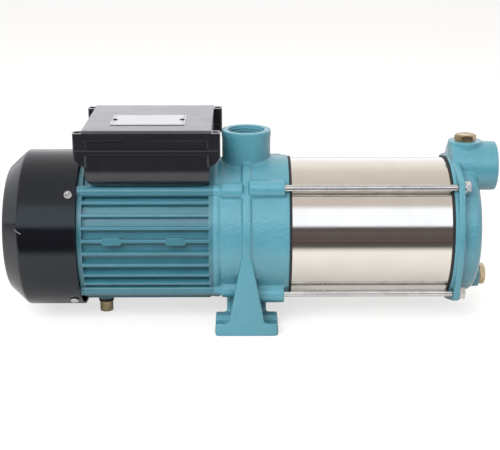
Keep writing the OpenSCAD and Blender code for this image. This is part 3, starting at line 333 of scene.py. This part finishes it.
def moulded(name, colour, roughness, grain=1.5 * MM, depth=0.03 * MM, edge=0.4 * MM):
    """Moulded plastic, rubber or fibre with a fine grain."""
    paint = material(name)
    skin = paint.noise(grain, 3.0)
    cloud = paint.noise(12 * MM, 2.0)
    shade = paint.mix(cloud.ramp(0.3, 0.7), colour, tuple(0.82 * c for c in colour))
    return paint.finish_surface(
        base_color=shade, roughness=cloud.ramp(0.3, 0.7, roughness, min(1.0, roughness + 0.1)),
        normal=paint.bump(skin, depth, edge))


def stacked_laminations():
    """Sheet-steel laminations: fine rings along the shaft with a little varnish."""
    paint = material("laminations")
    sheet = 0.65 * MM
    wave = paint.place().part(0) * (math.tau / sheet)
    rings = paint.node("ShaderNodeMath", {"operation": "SINE"}, {0: wave}) * 0.5 + 0.5
    rust = paint.noise(6 * MM, 4.0)
    colour = paint.mix(rust.ramp(0.45, 0.75), (0.20, 0.20, 0.21), (0.13, 0.10, 0.09))
    return paint.finish_surface(base_color=colour, metallic=0.9, roughness=rust.ramp(0.3, 0.7, 0.4, 0.6),
                                normal=paint.bump(rings, 0.06 * MM))


def varnished_copper():
    """Wound copper under amber varnish: strands run round the shaft."""
    paint = material("copper")
    strands = paint.noise(0.9 * MM, 1.0, 0.4, paint.stretched(1.0, 0.12, 0.12))
    colour = paint.mix(strands.ramp(0.35, 0.65), (0.42, 0.15, 0.05), (0.66, 0.30, 0.12))
    return paint.finish_surface(base_color=colour, metallic=0.7, roughness=0.34, coat_weight=0.5,
                                coat_roughness=0.15, normal=paint.bump(strands, 0.4 * MM, 0.6 * MM))


FINISHES = {
    "teal_casting": teal_casting(),
    "teal_aluminium": teal_aluminium(),
    "black_paint": black_paint(),
    "black_plastic": black_plastic(),
    "fan_plastic": moulded("fan_plastic", (0.02, 0.02, 0.02), 0.5),
    "stage_plastic": moulded("stage_plastic", (0.70, 0.69, 0.64), 0.42),
    "white_plastic": moulded("white_plastic", (0.74, 0.73, 0.69), 0.38),
    "polished_stainless": polished_stainless(),
    "bright_steel": ground_steel("bright_steel", (0.74, 0.73, 0.71), 0.16, 2.5 * MM, 0.0, 0.004 * MM),
    "bearing_steel": ground_steel("bearing_steel", (0.60, 0.60, 0.60), 0.16),
    "laminations": stacked_laminations(),
    "copper": varnished_copper(),
    "bare_aluminium": ground_steel("bare_aluminium", (0.62, 0.63, 0.63), 0.4, 1.4 * MM, 0.6 * MM),
    "plate_aluminium": brushed_plate(),
    "brass": turned_brass(),
    "black_rubber": moulded("black_rubber", (0.014, 0.014, 0.014), 0.6),
    "ceramic": moulded("ceramic", (0.22, 0.22, 0.23), 0.25, depth=0.01 * MM),
    "copper_ring": ground_steel("copper_ring", (0.55, 0.36, 0.20), 0.3),
}


# Mesh helpers

def link_piece(piece, node_slot, body, *replaced):
    """Gives a new piece its finish, its body and the nodes that it stands for."""
    if piece.name not in SCENE.collection.objects:
        SCENE.collection.objects.link(piece)
    piece.data.materials.clear()
    piece.data.materials.append(FINISHES[node_slot])
    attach(piece, body)
    if replaced:
        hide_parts(*replaced)
    return piece


def mesh_piece(name, points, faces, node_slot, body):
    """A closed mesh from points and faces, shaded smooth up to a corner's angle."""
    mesh = bpy.data.meshes.new(name)
    mesh.from_pydata([tuple(p) for p in points], [], faces)
    work = bmesh.new()
    work.from_mesh(mesh)
    bmesh.ops.remove_doubles(work, verts=work.verts, dist=1e-7)
    bmesh.ops.recalc_face_normals(work, faces=work.faces)
    work.to_mesh(mesh)
    work.free()
    mesh.shade_smooth()
    mesh.set_sharp_from_angle(angle=math.radians(40))
    return link_piece(bpy.data.objects.new(name, mesh), node_slot, body)


def weld(mesh):
    """Joins the points that the frame's file keeps apart along edges."""
    work = bmesh.new()
    work.from_mesh(mesh)
    bmesh.ops.remove_doubles(work, verts=work.verts, dist=1e-6)
    work.to_mesh(mesh)
    work.free()


def take_modifiers(piece):
    """Makes what a piece's modifiers do part of its mesh."""
    bpy.context.view_layer.update()
    shown = piece.evaluated_get(bpy.context.evaluated_depsgraph_get())
    made = bpy.data.meshes.new_from_object(shown)
    piece.modifiers.clear()
    piece.data = made


def remeshed(node, name, voxel):
    """A copy of a node's mesh, remade in even cells of this size."""
    piece = bpy.data.objects.new(name, NODES[node].data.copy())
    SCENE.collection.objects.link(piece)
    weld(piece.data)
    cells = piece.modifiers.new("cells", "REMESH")
    cells.mode = "VOXEL"
    cells.voxel_size = voxel
    take_modifiers(piece)
    return piece


def mesh_arrays(mesh):
    """Points, edges and normals of a mesh as arrays."""
    points = np.empty(len(mesh.vertices) * 3)
    mesh.vertices.foreach_get("co", points)
    edges = np.empty(len(mesh.edges) * 2, dtype=np.int64)
    mesh.edges.foreach_get("vertices", edges)
    normals = np.empty(len(mesh.vertices) * 3)
    mesh.vertices.foreach_get("normal", normals)
    return points.reshape(-1, 3), edges.reshape(-1, 2), normals.reshape(-1, 3)


def relax(points, edges, rounds):
    """Draws each point towards its neighbours, as many times as asked."""
    count = len(points)
    first, second = edges[:, 0], edges[:, 1]
    degree = np.bincount(np.concatenate([first, second]), minlength=count)[:, None]
    for _ in range(rounds):
        total = np.empty_like(points)
        for axis in range(3):
            total[:, axis] = (np.bincount(first, points[second, axis], count)
                              + np.bincount(second, points[first, axis], count))
        points = 0.5 * points + 0.5 * total / degree
    return points


CASTING_CELL = 0.7 * MM
CASTING_ROUNDS = 14
CASTING_FILLET = 1.2 * MM                    # most that an inner corner fills
CASTING_WEAR = 0.3 * MM                      # most that an edge wears


def cast_skin(node, machined):
    """Stands for a casting, with filled inner corners and worn edges.

    machined takes the points and says which of them lie on cut faces, which are smoothed only lightly.
    """
    piece = remeshed(node, node + "_casting", CASTING_CELL)
    start, edges, normals = mesh_arrays(piece.data)
    settled = relax(start, edges, 2)
    moved = relax(start, edges, CASTING_ROUNDS) - start
    along = (moved * normals).sum(1, keepdims=True)
    moved += normals * (np.clip(along, -CASTING_WEAR, CASTING_FILLET) - along)
    shaped = start + moved
    cut = machined(start)
    shaped[cut] = settled[cut]
    piece.data.vertices.foreach_set("co", shaped.ravel())
    piece.data.update()
    piece.data.shade_smooth()
    return link_piece(piece, SLOTS[node], BODY_OF[node], node)


def from_axis(points, origin, axis):
    """Distance from an axis through origin, and the place along it, for each point."""
    direction = np.array(axis, float)
    reach = points - np.array(origin, float)
    along = reach @ direction
    return np.linalg.norm(reach - along[:, None] * direction, axis=1), along


def open_bore(points, origin, axis, radius, depth, wider):
    """Moves the wall of a bore outward, to leave room for its thread."""
    distance, along = from_axis(points, origin, axis)
    wall = (np.abs(distance - radius) < 0.6 * MM) & (along > -depth) & (along < 3 * MM)
    direction = np.array(axis, float)
    reach = points - np.array(origin, float)
    across = reach - (reach @ direction)[:, None] * direction
    grown = points + across * ((wider / np.maximum(distance, 1e-9)) - 1.0)[:, None]
    points[wall] = grown[wall]


# Screws

def shells(mesh):
    """The separate closed shells of a mesh, each as a list of point numbers."""
    neighbours = [[] for _ in mesh.vertices]
    for edge in mesh.edges:
        first, second = edge.vertices
        neighbours[first].append(second)
        neighbours[second].append(first)
    left = set(range(len(mesh.vertices)))
    found = []
    while left:
        shell = [left.pop()]
        for point in shell:
            fresh = left.intersection(neighbours[point])
            left -= fresh
            shell.extend(fresh)
        found.append(shell)
    return found


def cross_cutter(tops, width, reach, depth):
    """A mesh object with one tapered cross for each place and direction in tops."""
    h, r = width / 2, reach / 2
    outline = [(h, h), (h, r), (-h, r), (-h, h), (-r, h), (-r, -h),
               (-h, -h), (-h, -r), (h, -r), (h, -h), (r, -h), (r, h)]
    count = len(outline)
    points, faces = [], []
    for number, (top, up) in enumerate(tops):
        turn = Vector((0, 0, 1)).rotation_difference(up).to_matrix() @ Matrix.Rotation(0.6 + number, 3, "Z")
        first = len(points)
        for height, share in ((-depth, 0.6), (depth, 1.4)):
            points += [top + turn @ Vector((x * share, y * share, height)) for x, y in outline]
        faces.append([first + c for c in reversed(range(count))])
        faces.append([first + count + c for c in range(count)])
        faces += [(first + c, first + (c + 1) % count, first + count + (c + 1) % count, first + count + c)
                  for c in range(count)]
    mesh = bpy.data.meshes.new("cross_cutter")
    mesh.from_pydata(points, [], faces)
    cutter = bpy.data.objects.new("cross_cutter", mesh)
    SCENE.collection.objects.link(cutter)
    return cutter


def with_cross_recess(node, width, reach, depth, way=None):
    """Stands for a node's screws, with a cross recess in each head.

    way is where the heads point, or None where they point away from the shaft.
    """
    piece = bpy.data.objects.new(node + "_crossed", NODES[node].data.copy())
    SCENE.collection.objects.link(piece)
    weld(piece.data)
    points, _, _ = mesh_arrays(piece.data)
    tops = []
    for shell in shells(piece.data):
        low, high = points[shell].min(0), points[shell].max(0)
        middle = Vector((low + high) / 2)
        up = Vector(way or (0, middle.y, middle.z - SHAFT_Z)).normalized()
        height = (points[shell] @ np.array(up)).max() - middle.dot(up)
        tops.append((middle + up * height, up))
    cutter = cross_cutter(tops, width, reach, depth)
    cut = piece.modifiers.new("cross", "BOOLEAN")
    cut.operation = "DIFFERENCE"
    cut.solver = "EXACT"
    cut.object = cutter
    take_modifiers(piece)
    bpy.data.objects.remove(cutter)
    piece.data.shade_smooth()
    piece.data.set_sharp_from_angle(angle=math.radians(28))
    return link_piece(piece, SLOTS[node], BODY_OF[node], node)


with_cross_recess("fan_cover_screws", 1.4 * MM, 5.0 * MM, 1.4 * MM)
with_cross_recess("terminal_lid_screws", 0.9 * MM, 3.4 * MM, 0.9 * MM, (0, 0, 1))


# Terminal box

BOX_EDGE = 0.6 * MM
BOX_CORNER = math.radians(35)                # sharper turns than this are edges
RECESS_CUT = 4.4 * MM                        # foot of the slope over the lid's recess, above the joint
RECESS_MOULDED = 7.4 * MM                    # the same foot raised, which makes the slope a ledge


def rounded_copy(node, reshape=None):
    """Stands for a node, with its flat faces made whole again and its edges rounded."""
    mesh = NODES[node].data.copy()
    work = bmesh.new()
    work.from_mesh(mesh)
    bmesh.ops.remove_doubles(work, verts=work.verts, dist=1e-6)
    bmesh.ops.dissolve_limit(work, angle_limit=math.radians(1), verts=work.verts, edges=work.edges)
    if reshape:
        for point in work.verts:
            reshape(point.co)
    work.to_mesh(mesh)
    work.free()
    mesh.shade_smooth()
    mesh.set_sharp_from_angle(angle=BOX_CORNER)
    piece = bpy.data.objects.new(node + "_moulded", mesh)
    SCENE.collection.objects.link(piece)
    edges = piece.modifiers.new("edges", "BEVEL")
    edges.limit_method = "ANGLE"
    edges.angle_limit = BOX_CORNER
    edges.width = BOX_EDGE
    edges.segments = 3
    edges.harden_normals = True
    take_modifiers(piece)
    return link_piece(piece, SLOTS[node], BODY_OF[node], node)


def steepen_recess(point):
    """Turns the slope over the recess in the lid's long sides into a ledge."""
    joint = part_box("terminal_box_lid")[0].z
    if abs(point.z - joint - RECESS_CUT) < 0.05 * MM:
        point.z = joint + RECESS_MOULDED


rounded_copy("terminal_box_lid", steepen_recess)
rounded_copy("terminal_box_base")


# Castings

PORT_DEPTH = 20 * MM
COLLAR_DROP = 6 * MM                         # lower edge of the discharge port's collar, below its rim
THREAD_ROOT = 1.48 * MM
FACE_SKIN = 0.8 * MM                         # points this near a flat machined face belong to it
RIM_LAND = 3 * MM                            # machined ring round a port's bore
COLLAR_LAND = 9 * MM
EDGE_BAND = 1.6 * MM                         # reach of a machined step's edge, to either side


def port_frame(mount):
    """Origin at the rim of a port, its axis and its bore radius."""
    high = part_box("pump_casing" if mount == "discharge_port" else "suction_cover")[1]
    origin = list(MOUNTS[mount]["pos_m"])
    axis = MOUNTS[mount]["axis"]
    along = [abs(a) for a in axis].index(1)
    origin[along] = high[along]
    return origin, axis, MOUNTS[mount]["dims"]["r_mm"] * MM


def bolt_places():
    """Centres of the foot's four bolt holes."""
    dims = MOUNTS["foot_bolts"]["dims"]
    half_x = dims["spacing_x_mm"] * MM / 2
    half_y = dims["spacing_y_mm"] * MM / 2
    return [(x, y) for x in (-half_x, half_x) for y in (-half_y, half_y)]


def casing_cut_faces(points):
    """Machined faces of the casing: floor, joint faces, port rim and bores."""
    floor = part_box("pump_casing")[0].z
    bolt_land = 5.5 * MM
    origin, axis, bore = port_frame("discharge_port")
    distance, along = from_axis(points, origin, axis)
    cut = points[:, 2] < floor + FACE_SKIN
    cut |= (distance < bore + RIM_LAND) & (along > -PORT_DEPTH - 2 * MM)
    cut |= (distance < bore + COLLAR_LAND) & (np.abs(along + COLLAR_DROP) < EDGE_BAND)
    around, _ = from_axis(points, (0, 0, SHAFT_Z), (1, 0, 0))
    cut |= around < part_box("pump_sleeve")[1].y - 4 * MM
    cut |= points[:, 0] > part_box("pump_sleeve")[0].x - 3.2 * MM
    cut |= points[:, 0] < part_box("motor_housing")[1].x + FACE_SKIN
    for x, y in bolt_places():
        cut |= np.hypot(points[:, 0] - x, points[:, 1] - y) < bolt_land
    return cut


def cover_cut_faces(points):
    """Machined faces of the suction cover: gasket face, inside, port rim and plug seats."""
    origin, axis, bore = port_frame("suction_port")
    distance, along = from_axis(points, origin, axis)
    seat_land, plug_hole, plug_depth = 10.5 * MM, 8.8 * MM, 14 * MM
    cut = (distance < bore + RIM_LAND) & (along > -PORT_DEPTH - 2 * MM)
    cut |= points[:, 0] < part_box("pump_sleeve")[1].x + 2.6 * MM
    for node, direction in (("priming_washer", (0, 0, 1)), ("drain_washer", (1, 0, 0))):
        low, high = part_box(node)
        middle = (low + high) / 2
        distance, along = from_axis(points, middle, direction)
        cut |= (distance < seat_land) & (np.abs(along) < EDGE_BAND)
        cut |= (distance < plug_hole) & (along < 0) & (along > -plug_depth)
    return cut


def open_port(piece, mount):
    """Widens a casting's port wall so that the thread ring fits in it."""
    points, _, _ = mesh_arrays(piece.data)
    origin, axis, bore = port_frame(mount)
    open_bore(points, origin, axis, bore, PORT_DEPTH - 0.8 * MM, bore + THREAD_ROOT + 0.25 * MM)
    piece.data.vertices.foreach_set("co", points.ravel())
    piece.data.update()


open_port(cast_skin("pump_casing", casing_cut_faces), "discharge_port")
open_port(cast_skin("suction_cover", cover_cut_faces), "suction_port")


def thread_ring(name, mount, body):
    """Ring that carries a pipe thread on its inside, 11 threads to the inch."""
    origin, axis, crest = port_frame(mount)
    pitch = 25.4 * MM / 11
    root = crest + THREAD_ROOT
    outside = root + 0.3 * MM
    rim_drop = 1.3 * MM
    length = PORT_DEPTH - rim_drop - 0.4 * MM
    columns = 96
    per_turn = 14
    rows = int(length / pitch * per_turn)
    points = []
    for row in range(rows + 1):
        down = rim_drop + length * row / rows
        for column in range(columns):
            angle = math.tau * column / columns
            phase = (down / pitch + column / columns) % 1.0
            height = min(1.0, max(0.0, 1.28 - 3.2 * abs(phase - 0.5)))
            lead = min(1.0, (down - rim_drop) / (1.2 * MM))
            radius = root - THREAD_ROOT * height * lead
            points.append((radius * math.cos(angle), radius * math.sin(angle), -down))
    for down in (rim_drop + length, rim_drop):
        for column in range(columns):
            angle = math.tau * column / columns
            points.append((outside * math.cos(angle), outside * math.sin(angle), -down))
    loops = rows + 3
    faces = [(loop * columns + c, loop * columns + (c + 1) % columns,
              (loop + 1) % loops * columns + (c + 1) % columns, (loop + 1) % loops * columns + c)
             for loop in range(loops) for c in range(columns)]
    turn = Vector((0, 0, 1)).rotation_difference(Vector(axis)).to_matrix().to_4x4()
    move = Matrix.Translation(Vector(origin)) @ turn
    return mesh_piece(name, [move @ Vector(p) for p in points], faces, "teal_casting", body)


thread_ring("discharge_thread", "discharge_port", "pump_body")
thread_ring("suction_thread", "suction_port", "pump_body")


# Finish of every node that stays

DARK_RIVET_STEEL = ground_steel("dark_rivet_steel", (0.045, 0.045, 0.050), 0.38)     # for the plate's rivets, drawn dark grey


def dress_nodes():
    for node, piece in NODES.items():
        mesh = piece.data
        mesh.materials.clear()
        mesh.materials.append(DARK_RIVET_STEEL if node == "nameplate_rivets" else FINISHES[SLOTS[node]])


dress_nodes()


# Studio

DARK_ROOM = (0.125, 0.110, 0.103)
FLOOR_FRONT = -0.236                         # the white table ends here, seen in reflections only
KEY_LOW, KEY_HIGH = 15.5, 47.0               # heights of the bright panel before the pump, in degrees


def studio_world():
    """White studio: a bright panel in front and above, a dark room below it, and pale walls behind."""
    paint = Paint(bpy.data.worlds.new("studio"))
    SCENE.world = paint.holder
    way = paint.node("ShaderNodeTexCoord", {}, {}, "Generated")
    turn = paint.node("ShaderNodeMath", {"operation": "ARCTAN2"}, {0: way.part(2), 1: -way.part(1)})
    lap = turn * (0.5 / math.pi) + 0.5

    def stop(degrees, colour):
        return (degrees / 360 + 0.5, colour)

    bands = paint.node("ShaderNodeValToRGB", {"stops": [
        stop(-90, DARK_ROOM), stop(0, DARK_ROOM), stop(5, (0.165, 0.125, 0.120)),
        stop(9, (0.105, 0.088, 0.082)), stop(KEY_LOW - 2, (0.085, 0.070, 0.066)),
        stop(KEY_LOW + 1, (1.27, 1.36, 1.50)),
        stop(KEY_HIGH - 4, (1.25, 1.33, 1.45)), stop(KEY_HIGH + 3, (0.71, 0.65, 0.61)),
        stop(92, (0.72, 0.67, 0.62)), stop(118, (0.82, 0.78, 0.71)), stop(135, (1.0, 0.98, 0.93)),
        stop(150, (1.07, 1.06, 1.04)), stop(163, (1.20, 1.20, 1.27)),
        stop(180, (1.20, 1.20, 1.27))]}, {0: lap})
    light_path = paint.node("ShaderNodeLightPath")
    camera = Value(paint, light_path.socket.node.outputs["Is Camera Ray"])
    colour = paint.mix(camera, bands, (1.0, 1.0, 1.0))
    background = paint.node("ShaderNodeBackground", {}, {"Color": colour, "Strength": 1.0})
    paint.node("ShaderNodeOutputWorld", {}, {"Surface": background})


def floor_finish():
    """White table that keeps the pump's shadow; mirrors see its front edge and the dark room beyond."""
    paint = material("floor")
    place = paint.place()
    light_path = paint.node("ShaderNodeLightPath")
    outputs = light_path.socket.node.outputs
    camera = Value(paint, outputs["Is Camera Ray"])
    glossy = Value(paint, outputs["Is Glossy Ray"])
    beyond = place.part(1).ramp(FLOOR_FRONT - 60 * MM, FLOOR_FRONT + 30 * MM, 1.0, 0.0)
    streaks = paint.node("ShaderNodeValToRGB", {"stops": [
        (0.0, DARK_ROOM), (0.45, (0.100, 0.084, 0.080)), (0.62, (0.175, 0.122, 0.116)),
        (0.78, (0.080, 0.070, 0.066)), (1.0, (0.130, 0.122, 0.116))]},
        {0: place.part(1).ramp(-1.4, FLOOR_FRONT)})
    table = paint.node("ShaderNodeBsdfDiffuse", {}, {"Color": rgba((0.61, 0.60, 0.585))})
    glow = paint.node("ShaderNodeEmission", {}, {"Color": rgba((1.0, 1.0, 1.0)), "Strength": 1.45})
    room = paint.node("ShaderNodeEmission", {}, {"Color": streaks, "Strength": 1.0})
    seen = paint.node("ShaderNodeMixShader", {}, {0: camera * 0.44, 1: table, 2: glow})
    mirrored = paint.node("ShaderNodeMixShader", {}, {0: glossy * beyond, 1: seen, 2: room})
    paint.node("ShaderNodeOutputMaterial", {}, {"Surface": mirrored})
    return paint.holder


def lay_floor():
    reach = 6.0
    mesh = bpy.data.meshes.new("floor")
    mesh.from_pydata([(-reach, -reach, 0), (reach, -reach, 0), (reach, reach, 0), (-reach, reach, 0)],
                     [], [(0, 1, 2, 3)])
    mesh.materials.append(floor_finish())
    floor = bpy.data.objects.new("floor", mesh)
    SCENE.collection.objects.link(floor)


def area_light(name, place, target, width, height, power):
    light = bpy.data.lights.new(name, "AREA")
    light.shape = "RECTANGLE"
    light.size = width
    light.size_y = height
    light.energy = power
    lamp = bpy.data.objects.new(name, light)
    lamp.location = place
    lamp.rotation_euler = (Vector(target) - Vector(place)).to_track_quat("-Z", "Y").to_euler()
    lamp.visible_glossy = False
    SCENE.collection.objects.link(lamp)


def set_camera():
    """Camera at the photograph's place: 17 degrees down on the shaft, about a metre away."""
    aside, rise = -5.25 * MM, 0.6 * MM
    distance = 1.037
    pitch = math.radians(17.0)
    yaw = math.radians(-0.5)
    camera = bpy.data.cameras.new("camera")
    camera.lens = 81.9
    camera.sensor_width = 36.0
    camera.clip_start = 0.05
    holder = bpy.data.objects.new("camera", camera)
    height = SHAFT_Z + distance * math.sin(pitch) + rise
    holder.location = (aside, -distance * math.cos(pitch), height)
    holder.rotation_euler = (math.pi / 2 - pitch, 0.0, yaw)
    SCENE.collection.objects.link(holder)
    SCENE.camera = holder


studio_world()
lay_floor()
area_light("key_panel", (-0.5, -1.3, 1.0), (0, 0, 0.08), 1.2, 0.7, 34.0)
area_light("top_panel", (0.1, 0.3, 1.5), (0, 0, 0.08), 1.4, 1.0, 10.0)
set_camera()
SCENE.view_settings.view_transform = "Standard"
